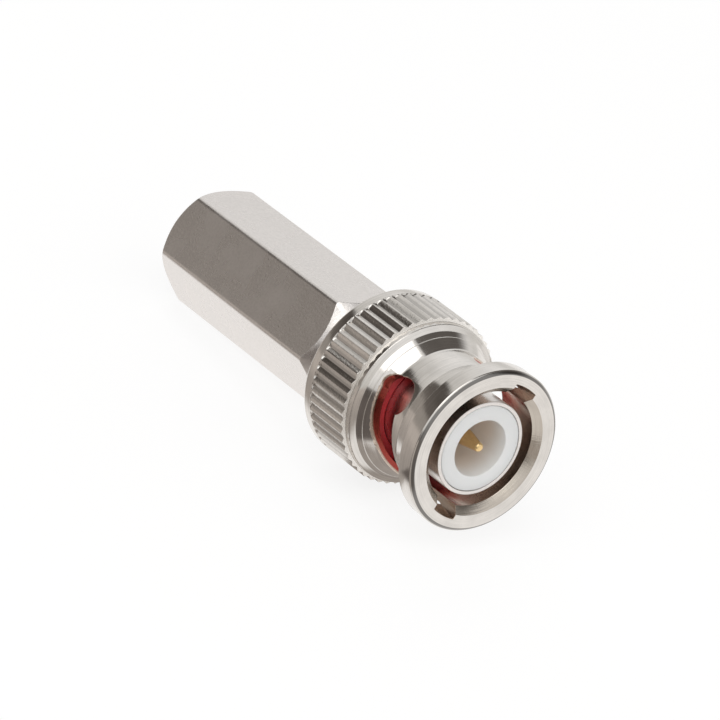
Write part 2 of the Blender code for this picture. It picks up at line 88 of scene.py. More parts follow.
STEP_FRONT = 8.5
STEP_REAR = 9.05
STEP_GROOVE = 0.03
STEP_ROUND = 0.02
RIM_ROUND = 0.3
LIP_THICKNESS = 1.2
LIP_RADIUS = 4.06
LIP_EDGE = 0.15

# The knurl: straight ridges with two sloping flanks, open at the front and ending short of the rim
KNURL_RADIUS = 7.25
KNURL_FRONT = 9.08
KNURL_LEAD = 0.05
KNURL_COUNT = 52
KNURL_PITCH = FULL_TURN / KNURL_COUNT
KNURL_PHASE = math.radians(2.65)
KNURL_PLAIN_STEPS = 6
KNURL_SCOOP_STEPS = 8
KNURL_REAR_ROWS = (0.02, 0.06)
GROOVE_DEPTH = 0.19
GROOVE_REAR = 13.42
REAR_SCOOP = 0.14
FLANK_TURN = math.radians(3.87)
FLANK_BOW = 0.2
COLUMN_SHARES = (0.0, 0.07, 0.16, 0.5, 0.86, 0.95)

# The two bayonet slots
SLOT_WIDTH = 2.35
SLOT_ROOF = 5.84
SLOT_MOUTH = 5.86
SLOT_MOUTH_EDGE = 0.04
SLOT_MOUTH_EDGE_DEPTH = 0.06
SLOT_LEAD = 0.5
SLOT_OVERLAP = 1.0
SLOT_THROAT = 5.55
SLOT_THROAT_DEPTH = 2.0
SLOT_ENTRY_ANGLE = math.radians(150.9)
SLOT_ENTRY_END = 4.93
SLOT_TURN = math.radians(93.0)
SLOT_RISE = 1.79
SLOT_REAR_RISE = 1.45
SLOT_REAR_BOW = 0.3
SLOT_HOLE_DEPTH = 6.59
SLOT_HOLE_RADIUS = 1.05
DETENT_TURN = math.radians(89.2)
DETENT_DEPTH = 5.94
DETENT_RADIUS = 1.55
SLOT_STEPS = 72
HOLE_STEPS = 72
ROOF_STEPS = 16
CUT_INNER = 4.2
CUT_OUTER = 8.0

# The slots' deburred edge: its width, and how it wanders along the slot
SLOT_EDGE = 0.05
WANDER_SHARE = 0.7
WANDERS_A_RADIAN = 40.0
WANDERS_A_MILLIMETRE = 5.0
WANDER_SLICE = 0.5

# Where the ring's mouth and bore take a finish of their own
FACE_SKIN = 0.04
REAR_SKIN = 0.05
CONE_MARGIN = 0.02
OUTWARD_SHARE = 0.3

# The hexagonal body, its neck and its outer contact sleeve
PLUG_LENGTH = 38.8
SLEEVE_TIP = 0.6
SLEEVE_RADIUS = 4.0
SLEEVE_BORE = 3.68
SLEEVE_BORE_END = 7.2
SLEEVE_TIP_ROUND = 0.08
CAVITY_RADIUS = 3.0
CAVITY_END = 16.22
WEB_HOLE = 1.95
WEB_THICKNESS = 2.3
COLLAR_RADIUS = 4.4
COLLAR_DEPTH = 14.42
HEX_CONE_DEPTH = 16.92
HEX_CONE_ROUND = 0.2
HEX_APOTHEM = 4.7
HEX_ROUND = 0.48
HEX_CORNER_STEPS = 8
HEX_CORNER_RADIUS = 5.36
HEX_CUT_MARGIN = 2.0
REAR_FACE_RADIUS = 4.62
REAR_FACE_ROUND = 0.06
CABLE_BORE = 3.1
CABLE_MOUTH = 3.5
CABLE_FLOOR_SLOPE = 0.9
SNAP_GROOVE_FRONT = 8.86
SNAP_GROOVE_REAR = 9.5
SNAP_GROOVE_RADIUS = 3.7
BODY_COLUMNS = 240
BODY_CREASE = 20

# The coarse thread in the cable bore
THREAD_PITCH = 1.5
THREAD_HEIGHT = 0.22
THREAD_RUN_OUT = 1.2
THREAD_MARGIN = 1.0
THREAD_STEEPNESS = 3.2
THREAD_CREST_POWER = 0.7
THREAD_ROWS = 8
THREAD_LAST_ROW = 0.6

# The insulator, the pin and the gasket
MOULDING_COLUMNS = 144
INSULATOR_BORE = 2.4
INSULATOR_BORE_ROUND = 0.07
INSULATOR_RIM_ROUND = 0.1
INSULATOR_FLOOR = 6.3
INSULATOR_FLOOR_ROUND = 0.15
INSULATOR_REAR = 12.4
INSULATOR_FIT = 0.03
INSULATOR_GAP = 0.02
PIN_COLUMNS = 64
PIN_RADIUS = 0.675
PIN_TIP = 0.62
PIN_TIP_RADIUS = 0.38
PIN_TIP_ROUND = 0.25
PIN_TIP_STEPS = 8
PIN_TIP_STRAIGHT = 0.05
PIN_TAPER = 1.9
PIN_TAPER_ROUND = 0.3
PIN_COLLAR_RADIUS = 1.2
PIN_COLLAR_FRONT = 9.6
PIN_COLLAR_REAR = 12.3
PIN_TAIL_RADIUS = 0.95
PIN_TAIL_END = 15.92
PIN_TAIL_ROUND = 0.06
PIN_SOCKET_RADIUS = 0.45
PIN_SOCKET_DEPTH = 3.4
PIN_SLIT_WIDTH = 0.2
PIN_SLIT_LENGTH = 2.2
PIN_SLIT_SPAN = 2.5
PIN_SLIT_OVERRUN = 1.0
GASKET_FRONT = 7.81
GASKET_REAR = 8.86
GASKET_OUTER = 4.87
GASKET_ROUND = 0.2
GASKET_EDGE = 0.08

# The wave washers
WAVE_COUNT = 3
WAVE_HEIGHT = 1.2
WAVE_STRIP = 0.25
WASHER_INNER = 4.06
WASHER_OUTER = 4.8
WASHER_ROUND = 0.04
WASHER_COLUMNS = 180
WAVE_FRONT_DEPTH = 9.92
WAVE_REAR_DEPTH = 11.56

# The camera, fitted to the photograph: place in metres, turn about X, Y and Z in degrees
CAMERA_PLACE = (0.278904, -0.243686, 0.204666)
CAMERA_TURN = (60.8427, -13.7717, 56.1867)
CAMERA_LENS = 263.965
CAMERA_SENSOR = 36.0

# The softbox above the table, in metres and watts
LAMP_PLACE = (0.12, -0.30, 0.62)
LAMP_SIZE = 0.62
LAMP_POWER = 1.15

# Colours, as they look on the object
NICKEL = (0.72, 0.69, 0.655)
# Darker plate for the ring's mouth cone: painted shade in the mouth
MOUTH_NICKEL_PAINTED_SHADE = (0.54, 0.49, 0.43)
BORE_NICKEL = (0.66, 0.56, 0.48)
# Near-white painted highlight for the knurl's front face
KNURL_FACE_HIGHLIGHT = (1.0, 0.975, 0.94)
# Painted reflection of the red gasket on the slot's wall
GASKET_RED_REFLECTION = (0.40, 0.075, 0.06)
SATIN_NICKEL = (0.77, 0.735, 0.71)
SPRING_STEEL = (0.50, 0.49, 0.48)
GOLD = (0.83, 0.60, 0.30)
RED_SILICONE = (0.60, 0.035, 0.045)
WHITE_PLASTIC = (0.88, 0.89, 0.89)
# Painted warm shade for the insulator's bore
SHADED_PLASTIC = (0.90, 0.83, 0.77)
NATURAL_PLASTIC = (0.75, 0.73, 0.68)

# Marks on the ring: the from and to of each soft limit, in millimetres
KNURL_MARK_FRONT = (KNURL_FRONT - 0.08, KNURL_FRONT + 0.02)
KNURL_MARK_REAR = (GROOVE_REAR + 0.08, GROOVE_REAR - 0.02)
# Painted shade in the knurl's grooves: its soft limit by radius, and its share
VALLEY_SHADE_MARK = (KNURL_RADIUS - 0.07, KNURL_RADIUS - 0.14)
VALLEY_SHADE_SHARE = 0.8
# Painted highlight on the knurl's front face: its depth, soft half-width, radius and added roughness
KNURL_FACE_DEPTH = (STEP_REAR + KNURL_FRONT) / 2
KNURL_FACE_MARK_HALF = (0.03, 0.02)
KNURL_FACE_MARK_RADIUS = (STEP_RADIUS + 0.01, STEP_RADIUS + 0.04)
KNURL_FACE_ROUGHNESS = 0.4
# Painted dark reflection on the flange's front chamfer: its soft limits
CHAMFER_MARK = (FLANGE_RADIUS - FLANGE_EDGE - 0.08, FLANGE_RADIUS - FLANGE_EDGE - 0.03)
CHAMFER_MARK_REAR = (0.2, 0.15)
# Where the gasket's painted red reflection lies on the slot's wall
GASKET_REFLECTION_SKIN = (0.1, 0.24)
GASKET_REFLECTION_FRONT = (5.85, 6.15)
GASKET_REFLECTION_REAR = (7.85, 7.75)

# Lines across the washers a millimetre, and chatter marks round the ring's mouth and bore
STRIP_LINES = 12.0
CHATTERS_A_RADIAN = 55.0

# Where painted shade darkens and warms the insulator's bore
SHADED_BORE_DEPTH = (0.75, 3.2)
SHADED_BORE_RADIUS = (INSULATOR_BORE + 0.06, INSULATOR_BORE + 0.01)

# The studio that the metal mirrors: directions, and soft limits as angles from them in degrees
OPENING_DIRECTION = (-0.8, -0.6, 0.0)
OPENING_ANGLES = (40, 45)
DIM_WALL_ANGLES = (44, 80)
CEILING_DIRECTION = (0.25, -0.45, 0.86)
CEILING_ANGLES = (18, 36)
APRON_DIRECTION = (0.37, -0.92, 0.0)
APRON_ANGLES = (17, 24)

# Soft limits along the axes of the mirrored direction
PANEL_BEHIND = (0.03, 0.1)
PANEL_RIGHT = (0.44, 0.34)
PANEL_LEFT = (-0.5, -0.35)
PANEL_FOOT = (0.2, 0.55)
APRON_TOP = (0.24, 0.16)
WALL_RISE = (0.1, 0.45)
OPENING_FOOT = (0.22, 0.28)
OPENING_RISE = (0.3, 0.6)

# The studio's colours
WHITE = (1.0, 1.0, 1.0)
LOW_WALL = (0.76, 0.75, 0.73)
HIGH_WALL = (0.96, 0.96, 0.96)
DIM_WALL = (0.70, 0.69, 0.67)
CEILING = (0.92, 0.91, 0.89)
DARK_PANEL = (0.13, 0.119, 0.11)
DARK_APRON = (0.13, 0.113, 0.104)
OPENING_BELOW = (0.36, 0.332, 0.305)
OPENING_MIDDLE = (0.15, 0.134, 0.122)
OPENING_ABOVE = (0.08, 0.070, 0.062)

# The table: its grid, and what metal mirrors of it with its painted shadow, with places and soft limits
# in metres
TABLE_HALF = 1.5
TABLE_SQUARES = 24
SHADE_OUTWARD = (0.007, 0.011)
SHADE_MIDDLE = 0.0103
SHADE_BESIDE = (0.0032, 0.0022)
SHADE_FADE = (0.011, 0.04)
WEDGE_OUTWARD = 0.005
WEDGE_ALONG = 0.011
WEDGE_LEAN = 0.38
WEDGE_SHORTEST = 0.001
WEDGE_SPREAD = (0.42, 0.30)
WEDGE_TIP = (0.0085, 0.0105)

# The table's colours
TABLE_GLOW = (0.82, 0.82, 0.82)
TABLE_SEEN = (0.22, 0.22, 0.22)
TABLE_BOUNCE = (0.86, 0.86, 0.86)
TABLE_MIRRORED = (1.0, 0.985, 0.97)
# Painted shadow of the plug in the mirrored table
SHADE_NEAR = (0.41, 0.373, 0.344)
SHADE_FAR = (0.56, 0.51, 0.47)
SHADOW_WEDGE_COLOUR = (0.15, 0.13, 0.12)
BLACK = (0.0, 0.0, 0.0)


def plug_placing():
    """The frame's matrix of the plug: +Z runs forward along its axis, +X down, from the ring's face."""
    joints = frame["record"]["behaviour"]["joints"]
    turn = next(joint for joint in joints if joint["name"] == "ring_turn")
    forward = Vector(turn["axis"]).normalized()
    across = Vector((0.0, 1.0, 0.0))
    down = across.cross(forward)
    placing = Matrix((down, across, forward)).transposed().to_4x4()
    placing.translation = Vector(turn["pos_m"])
    return placing


PLUG = plug_placing()


def rounded(corners, steps=3):
    """Turn (radius, depth, rounding) corners of a closed outline into plain (radius, depth) points."""
    outline = []
    for index, (radius, depth, rounding) in enumerate(corners):
        here = Vector((radius, depth))
        if rounding == 0.0:
            outline.append((radius, depth))
            continue
        before = (Vector(corners[index - 1][:2]) - here).normalized()
        after = (Vector(corners[(index + 1) % len(corners)][:2]) - here).normalized()
        half = before.angle(after) / 2
        centre = here + (before + after).normalized() * rounding / math.sin(half)
        start = here + before * rounding / math.tan(half) - centre
        end = here + after * rounding / math.tan(half) - centre
        first = math.atan2(start.y, start.x)
        sweep = math.remainder(math.atan2(end.y, end.x) - first, FULL_TURN)
        for step in range(steps + 1):
            angle = first + sweep * step / steps
            point = (centre.x + rounding * math.cos(angle), centre.y + rounding * math.sin(angle))
            outline.append(point)
    return outline


def even_angles(count):
    return [FULL_TURN * number / count for number in range(count)]


def turned(outline, angles, shape=None, closed=True):
    """A turned mesh in the plug's own axes; shape may change the radius at (radius, depth, angle)."""
    bm = bmesh.new()
    rows = []
    for radius, depth in outline:
        row = []
        for angle in angles:
            reach = shape(radius, depth, angle) if shape else radius
            row.append(bm.verts.new((reach * math.cos(angle), reach * math.sin(angle), -depth)))
        rows.append(row)
    pairs = list(zip(rows, rows[1:]))
    if closed:
        pairs.append((rows[-1], rows[0]))
    for upper, lower in pairs:
        for column in range(len(angles)):
            following = (column + 1) % len(angles)
            bm.faces.new((upper[column], lower[column], lower[following], upper[following]))
    bmesh.ops.remove_doubles(bm, verts=bm.verts, dist=1e-5)
    bmesh.ops.dissolve_degenerate(bm, edges=bm.edges, dist=1e-6)
    bmesh.ops.recalc_face_normals(bm, faces=bm.faces)
    return bm


def loft(sections):
    """A closed mesh through a list of sections with equally many points."""
    bm = bmesh.new()
    rings = [[bm.verts.new(point) for point in section] for section in sections]
    for first, second in zip(rings, rings[1:]):
        for side in range(len(first)):
            following = (side + 1) % len(first)
            bm.faces.new((first[side], first[following], second[following], second[side]))
    bm.faces.new(list(reversed(rings[0])))
    bm.faces.new(rings[-1])
    bmesh.ops.recalc_face_normals(bm, faces=bm.faces)
    return bm


def new_object(name, bm, materials):
    mesh = bpy.data.meshes.new(name)
    bm.to_mesh(mesh)
    bm.free()
    for material in materials:
        mesh.materials.append(material)
    obj = bpy.data.objects.new(name, mesh)
    bpy.context.scene.collection.objects.link(obj)
    return obj


def cut(obj, cutter_meshes, operation="DIFFERENCE"):
    """Cut an object with each mesh in turn, keep the result as its mesh and drop the cutters."""
    cutters = []
    for number, bm in enumerate(cutter_meshes):
        cutter = new_object("cutter_%d" % number, bm, obj.data.materials[-1:])
        boolean = obj.modifiers.new(cutter.name, "BOOLEAN")
        boolean.operation = operation
        boolean.solver = "EXACT"
        boolean.object = cutter
        boolean.material_mode = "TRANSFER"
        cutters.append(cutter)
    evaluated = obj.evaluated_get(bpy.context.evaluated_depsgraph_get())
    old = obj.data
    obj.data = bpy.data.meshes.new_from_object(evaluated)
    obj.data.name = obj.name
    obj.modifiers.clear()
    bpy.data.meshes.remove(old)
    for cutter in cutters:
        mesh = cutter.data
        bpy.data.objects.remove(cutter, do_unlink=True)
        bpy.data.meshes.remove(mesh)


def finish_piece(obj, body, node, crease=35):
    """Place a piece that was modelled in the plug's axes, shade it, hang it on its body and hide the
    CAD node that it replaces.
    """
    obj.data.transform(PLUG @ Matrix.Scale(MM, 4))
    obj.data.shade_smooth()
    obj.data.set_sharp_from_angle(angle=math.radians(crease))
    weighted = obj.modifiers.new("Flat faces stay flat", "WEIGHTED_NORMAL")
    weighted.keep_sharp = True
    weighted.weight = 80
    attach(obj, body)
    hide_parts(node)


def new_node(tree, kind, settings=None, **inputs):
    """Add a shader node, set its own properties, and link or set its inputs by name or i-number."""
    made = tree.nodes.new(kind)
    for name, value in (settings or {}).items():
        setattr(made, name, value)
    for name, value in inputs.items():
        by_number = name[0] == "i" and name[1:].isdigit()
        socket = made.inputs[int(name[1:]) if by_number else name]
        if isinstance(value, bpy.types.NodeSocket):
            tree.links.new(value, socket)
        else:
            socket.default_value = value
    return made


def maths(tree, operation, *values):
    inputs = {"i%d" % number: value for number, value in enumerate(values)}
    return new_node(tree, "ShaderNodeMath", {"operation": operation}, **inputs).outputs[0]


def times(tree, first, second):
    return maths(tree, "MULTIPLY", first, second)


def plus(tree, first, second):
    return maths(tree, "ADD", first, second)


def minus(tree, first, second):
    return maths(tree, "SUBTRACT", first, second)


def distance_from(tree, value, middle):
    return maths(tree, "ABSOLUTE", minus(tree, value, middle))


def vector_from(tree, x, y, z):
    return new_node(tree, "ShaderNodeCombineXYZ", X=x, Y=y, Z=z).outputs[0]


def smooth_range(tree, value, low, high, start=0.0, end=1.0):
    """A soft step from start at low to end at high."""
    inputs = {"Value": value, "From Min": low, "From Max": high, "To Min": start, "To Max": end}
    settings = {"interpolation_type": "SMOOTHSTEP"}
    return new_node(tree, "ShaderNodeMapRange", settings, **inputs).outputs[0]


def mix_colour(tree, share, first, second):
    """A blend of two colours, each a socket or a plain (red, green, blue)."""
    ends = [(*colour, 1.0) if isinstance(colour, tuple) else colour for colour in (first, second)]
    settings = {"data_type": "RGBA"}
    return new_node(tree, "ShaderNodeMix", settings, i0=share, i6=ends[0], i7=ends[1]).outputs[2]


def noise_value(tree, vector, scale, detail=2.0, roughness=0.5):
    inputs = {"Vector": vector, "Scale": scale, "Detail": detail, "Roughness": roughness}
    return new_node(tree, "ShaderNodeTexNoise", **inputs).outputs[0]


PlugCoordinates = namedtuple("PlugCoordinates", "point radius angle depth")


def plug_coordinates(tree):
    """Position in the plug's own axes in millimetres, with its radius, angle and depth."""
    placing = {
        "Location": PLUG.translation,
        "Rotation": PLUG.to_euler("XYZ"),
        "Scale": (MM, MM, MM),
    }
    raw = new_node(tree, "ShaderNodeTexCoord").outputs["Object"]
    settings = {"vector_type": "TEXTURE"}
    point = new_node(tree, "ShaderNodeMapping", settings, Vector=raw, **placing).outputs[0]
    parts = new_node(tree, "ShaderNodeSeparateXYZ", Vector=point).outputs
    across = vector_from(tree, parts[0], parts[1], 0.0)
    length = new_node(tree, "ShaderNodeVectorMath", {"operation": "LENGTH"}, i0=across)
    angle = maths(tree, "ARCTAN2", parts[1], parts[0])
    depth = times(tree, parts[2], -1.0)
    return PlugCoordinates(point, length.outputs["Value"], angle, depth)


def turning_lines(tree, plug, lines, detail, roughness=0.5):
    """Noise that is long round the plug's axis, with about so many lines a millimetre across it."""
    along = times(tree, plug.depth, lines)
    across = times(tree, plug.radius, lines)
    return noise_value(tree, vector_from(tree, along, across, plug.angle), 1.0, detail, roughness)


def new_material(name, colour, roughness, metallic=0.0):
    """A material with a Principled shader that the caller fills in."""
    material = bpy.data.materials.new(name)
    material.use_nodes = True
    tree = material.node_tree
    shader = tree.nodes["Principled BSDF"]
    shader.inputs["Base Color"].default_value = (*colour, 1.0)
    shader.inputs["Roughness"].default_value = roughness
    shader.inputs["Metallic"].default_value = metallic
    return material, tree, shader


def set_glow_within(shader, weight, radius, scale):
    """Light that spreads under the skin: its weight, reach of each colour, and scale in millimetres."""
    shader.inputs["Subsurface Weight"].default_value = weight
    shader.inputs["Subsurface Radius"].default_value = radius
    shader.inputs["Subsurface Scale"].default_value = scale * MM


def soft_edge(tree, radius):
    return new_node(tree, "ShaderNodeBevel", {"samples": 6}, Radius=radius * MM).outputs[0]


def add_bump(tree, height, distance, normal=None):
    """Bump whose height of 1 stands the given distance in millimetres proud."""
    inputs = {"Height": height, "Distance": distance * MM, "Strength": 1.0}
    if normal:
        inputs["Normal"] = normal
    return new_node(tree, "ShaderNodeBump", **inputs).outputs[0]


def tinted(colour, share):
    return tuple(channel * share for channel in colour)


def between(tree, value, front, rear):
    """1 between two soft limits, each with its from and its to."""
    return times(tree, smooth_range(tree, value, *front), smooth_range(tree, value, *rear))


def knurl_marks(tree, colour, plug, base, rough, height, grain_height):
    """Grain on the knurl, with painted shade in its grooves, a painted highlight on its front face and
    a painted dark reflection on the flange's chamfer.
    """
    knurl = between(tree, plug.depth, KNURL_MARK_FRONT, KNURL_MARK_REAR)
    grain = times(tree, noise_value(tree, plug.point, scale=5.5, detail=3.0, roughness=0.65), knurl)
    height = plus(tree, height, times(tree, grain, grain_height))
    worn = smooth_range(tree, grain, low=0.48, high=0.7, end=0.35)
    base = mix_colour(tree, worn, base, tinted(colour, 0.62))
    # Painted shade: the knurl's grooves are darkened
    valley_shade = times(tree, smooth_range(tree, plug.radius, *VALLEY_SHADE_MARK), knurl)
    base = mix_colour(tree, times(tree, valley_shade, VALLEY_SHADE_SHARE), base, tinted(colour, 0.66))
    # Painted highlight: a near-white, rougher band on the knurl's front face
    near_face = smooth_range(tree, distance_from(tree, plug.depth, KNURL_FACE_DEPTH), *KNURL_FACE_MARK_HALF)
    face_highlight = times(tree, near_face, smooth_range(tree, plug.radius, *KNURL_FACE_MARK_RADIUS))
    base = mix_colour(tree, face_highlight, base, KNURL_FACE_HIGHLIGHT)
    rough = plus(tree, rough, times(tree, face_highlight, KNURL_FACE_ROUGHNESS))
    # Painted dark reflection: the flange's front chamfer is darkened
    outer_limit = smooth_range(tree, minus(tree, plug.radius, plug.depth), *CHAMFER_MARK)
    chamfer = times(tree, outer_limit, smooth_range(tree, plug.depth, *CHAMFER_MARK_REAR))
    base = mix_colour(tree, chamfer, base, tinted(colour, 0.3))
    return base, rough, height


def paint_gasket_reflection(tree, plug, base):
    """A painted reflection: the slot's wall below the barrel's skin is tinted with the gasket's red."""
    behind_barrel = maths(tree, "MAXIMUM", minus(tree, plug.depth, NOSE_START), 0.0)
    skin = plus(tree, times(tree, behind_barrel, NOSE_SLOPE), BARREL_RADIUS)
    below = smooth_range(tree, minus(tree, skin, plug.radius), *GASKET_REFLECTION_SKIN)
    wall = between(tree, plug.depth, GASKET_REFLECTION_FRONT, GASKET_REFLECTION_REAR)
    return mix_colour(tree, times(tree, below, wall), base, GASKET_RED_REFLECTION)


def turned_nickel(name, colour, roughness, line_height, chatter=0.0, grain=0.0, gasket_reflection=False):
    """Bright plate over turned brass: fine lines round the axis, faint stains and soft edges. The
    heights of chatter and of the knurl's grain are shares of the lines' height. The knurl's grain
    brings painted shade, a painted highlight and a painted reflection with it, and the last flag
    adds the gasket's painted red reflection on the slot's wall."""
    material, tree, shader = new_material(name, colour, roughness, metallic=1.0)
    plug = plug_coordinates(tree)
    fine = turning_lines(tree, plug, lines=9.0, detail=4.0, roughness=0.6)
    coarse = turning_lines(tree, plug, lines=2.2, detail=2.0)
    stain = noise_value(tree, plug.point, scale=0.55, detail=3.0)
    height = plus(tree, fine, times(tree, coarse, 0.6))
    if chatter:
        around = times(tree, plug.angle, CHATTERS_A_RADIAN)
        waves = noise_value(tree, vector_from(tree, plug.depth, plug.radius, around), scale=1.0)
        height = plus(tree, height, times(tree, waves, chatter))
    shade = plus(tree, times(tree, fine, 0.5), times(tree, stain, 0.5))
    light = smooth_range(tree, shade, low=0.35, high=0.65)
    base = mix_colour(tree, light, tinted(colour, 0.90), tinted(colour, 1.06))
    dull = roughness * 1.3
    rough = smooth_range(tree, stain, low=0.3, high=0.75, start=roughness * 0.85, end=dull)
    if grain:
        base, rough, height = knurl_marks(tree, colour, plug, base, rough, height, grain)
    if gasket_reflection:
        base = paint_gasket_reflection(tree, plug, base)
    tree.links.new(base, shader.inputs["Base Color"])
    tree.links.new(rough, shader.inputs["Roughness"])
    tree.links.new(add_bump(tree, height, line_height, soft_edge(tree, 0.04)), shader.inputs["Normal"])
    return material


def satin_nickel():
    """Drawn bar with satin plate: an even orange-peel with scattered pits."""
    material, tree, shader = new_material("satin_nickel_plate", SATIN_NICKEL, 0.27, metallic=1.0)
    point = plug_coordinates(tree).point
    peel = noise_value(tree, point, scale=5.0, detail=3.0, roughness=0.6)
    pits = noise_value(tree, point, scale=2.6)
    cloud = noise_value(tree, point, scale=0.35, detail=3.0)
    pit_depth = smooth_range(tree, pits, low=0.66, high=0.76, end=-0.8)
    height = plus(tree, peel, pit_depth)
    shade = plus(tree, times(tree, peel, 0.6), times(tree, cloud, 0.4))
    light = smooth_range(tree, shade, low=0.35, high=0.65)
    base = mix_colour(tree, light, tinted(SATIN_NICKEL, 0.94), tinted(SATIN_NICKEL, 1.04))
    tree.links.new(base, shader.inputs["Base Color"])
    rough = smooth_range(tree, cloud, low=0.3, high=0.7, start=0.22, end=0.33)
    tree.links.new(rough, shader.inputs["Roughness"])
    tree.links.new(add_bump(tree, height, 0.007, soft_edge(tree, 0.08)), shader.inputs["Normal"])
    return material


def spring_steel():
    """Stamped strip with fine lines round the axis."""
    material, tree, shader = new_material("spring_steel_strip", SPRING_STEEL, 0.32, metallic=1.0)
    plug = plug_coordinates(tree)
    across = times(tree, plug.radius, STRIP_LINES)
    grain = noise_value(tree, vector_from(tree, across, plug.depth, plug.angle), scale=1.0, detail=3.0)
    base = mix_colour(tree, grain, tinted(SPRING_STEEL, 0.85), tinted(SPRING_STEEL, 1.12))
    tree.links.new(base, shader.inputs["Base Color"])
    tree.links.new(add_bump(tree, grain, 0.003, soft_edge(tree, 0.03)), shader.inputs["Normal"])
    return material


def gold_plate():
    """Smooth gold over fine turning lines."""
    material, tree, shader = new_material("gold_plate", GOLD, 0.2, metallic=1.0)
    plug = plug_coordinates(tree)
    lines = turning_lines(tree, plug, lines=14.0, detail=3.0)
    cloud = noise_value(tree, plug.point, scale=2.0)
    base = mix_colour(tree, cloud, tinted(GOLD, 0.9), tinted(GOLD, 1.08))
    tree.links.new(base, shader.inputs["Base Color"])
    rough = smooth_range(tree, cloud, low=0.3, high=0.7, start=0.16, end=0.28)
    tree.links.new(rough, shader.inputs["Roughness"])
    tree.links.new(add_bump(tree, lines, 0.004), shader.inputs["Normal"])
    return material


def white_plastic():
    """Turned fluoroplastic: waxy, slightly translucent, with painted warm shade down in its bore."""
    material, tree, shader = new_material("white_fluoroplastic", WHITE_PLASTIC, 0.42)
    plug = plug_coordinates(tree)
    lines = turning_lines(tree, plug, lines=8.0, detail=3.0)
    cloud = noise_value(tree, plug.point, scale=0.8)
    # Painted shade: the bore is tinted darker and warmer with depth
    sunken = smooth_range(tree, plug.depth, *SHADED_BORE_DEPTH)
    inside = times(tree, sunken, smooth_range(tree, plug.radius, *SHADED_BORE_RADIUS))
    pale = mix_colour(tree, cloud, tinted(WHITE_PLASTIC, 0.985), tinted(WHITE_PLASTIC, 1.01))
    tree.links.new(mix_colour(tree, inside, pale, SHADED_PLASTIC), shader.inputs["Base Color"])
    set_glow_within(shader, weight=0.4, radius=(1.0, 0.95, 0.9), scale=1.0)
    tree.links.new(add_bump(tree, lines, 0.006), shader.inputs["Normal"])
    return material


def natural_plastic():
    """Unpigmented plastic with a fine moulded grain."""
    material, tree, shader = new_material("natural_moulded_plastic", NATURAL_PLASTIC, 0.5)
    point = plug_coordinates(tree).point
    cloud = noise_value(tree, point, scale=1.2, detail=3.0)
    base = mix_colour(tree, cloud, tinted(NATURAL_PLASTIC, 0.93), tinted(NATURAL_PLASTIC, 1.05))
    tree.links.new(base, shader.inputs["Base Color"])
    grain = noise_value(tree, point, scale=9.0)
    tree.links.new(add_bump(tree, grain, 0.008), shader.inputs["Normal"])
    return material


def red_silicone():
    """Soft red silicone, a little translucent."""
    material, tree, shader = new_material("red_moulded_silicone", RED_SILICONE, 0.42)
    point = plug_coordinates(tree).point
    cloud = noise_value(tree, point, scale=1.6, detail=3.0)
    base = mix_colour(tree, cloud, tinted(RED_SILICONE, 0.85), tinted(RED_SILICONE, 1.15))
    tree.links.new(base, shader.inputs["Base Color"])
    set_glow_within(shader, weight=0.15, radius=(1.0, 0.2, 0.1), scale=0.4)
    grain = noise_value(tree, point, scale=7.0, detail=3.0)
    tree.links.new(add_bump(tree, grain, 0.012), shader.inputs["Normal"])
    return material


def knurl_depths():
    """Depths of the knurl's rows: close together at the grooves' rear ends, wide apart before them."""
    depths = [KNURL_FRONT, KNURL_FRONT + KNURL_LEAD]
    scoop_start = GROOVE_REAR - REAR_SCOOP
    for step in range(1, KNURL_PLAIN_STEPS):
        depths.append(KNURL_FRONT + (scoop_start - KNURL_FRONT) * step / KNURL_PLAIN_STEPS)
    for step in range(KNURL_SCOOP_STEPS + 1):
        depths.append(scoop_start + REAR_SCOOP * step / KNURL_SCOOP_STEPS)
    depths += [GROOVE_REAR + behind for behind in KNURL_REAR_ROWS]
    return depths


def ring_corners():
    """The ring's outline from its mouth back along the outer side, and forward through its bore."""
    corners = [
        (MOUTH_RADIUS, 0.0, FINE_ROUND),
        (FLANGE_RADIUS - FLANGE_EDGE, 0.0, FLANGE_ROUND),
        (FLANGE_RADIUS, FLANGE_EDGE, FLANGE_ROUND),
        (FLANGE_RADIUS, FLANGE_REAR, FLANGE_REAR_ROUND),
        (BARREL_RADIUS, FLANGE_REAR, FLANGE_FILLET),
        (BARREL_RADIUS, TURNED_LINE_DEPTH - TURNED_LINE_HALF, 0.0),
        (BARREL_RADIUS - TURNED_LINE_CUT, TURNED_LINE_DEPTH, 0.0),
        (BARREL_RADIUS, TURNED_LINE_DEPTH + TURNED_LINE_HALF, 0.0),
        (BARREL_RADIUS, NOSE_START, NOSE_FILLET),
        (NOSE_LEDGE_RADIUS, NOSE_LEDGE_DEPTH, 0.0),
        (NOSE_LEDGE_RADIUS + NOSE_LEDGE, NOSE_LEDGE_DEPTH + NOSE_LEDGE_SLANT, 0.0),
        (NOSE_RADIUS, NOSE_END, FINE_ROUND),
        (STEP_RADIUS, STEP_FRONT, STEP_ROUND),
        (STEP_RADIUS - STEP_GROOVE, STEP_FRONT + STEP_GROOVE, 0.0),
        (STEP_RADIUS, STEP_FRONT + 2 * STEP_GROOVE, STEP_ROUND),
        (STEP_RADIUS, STEP_REAR, STEP_ROUND),
    ]
    corners += [(KNURL_RADIUS, depth, 0.0) for depth in knurl_depths()]
    corners += [
        (KNURL_RADIUS, RING_LENGTH, RIM_ROUND),
        (LIP_RADIUS + LIP_EDGE, RING_LENGTH, FINE_ROUND),
        (LIP_RADIUS, RING_LENGTH - LIP_EDGE, FINE_ROUND),
        (LIP_RADIUS, RING_LENGTH - LIP_THICKNESS, 0.0),
        (BORE_RADIUS, RING_LENGTH - LIP_THICKNESS, 0.0),
        (BORE_RADIUS, MOUTH_DEPTH, FINE_ROUND),
    ]
    return corners


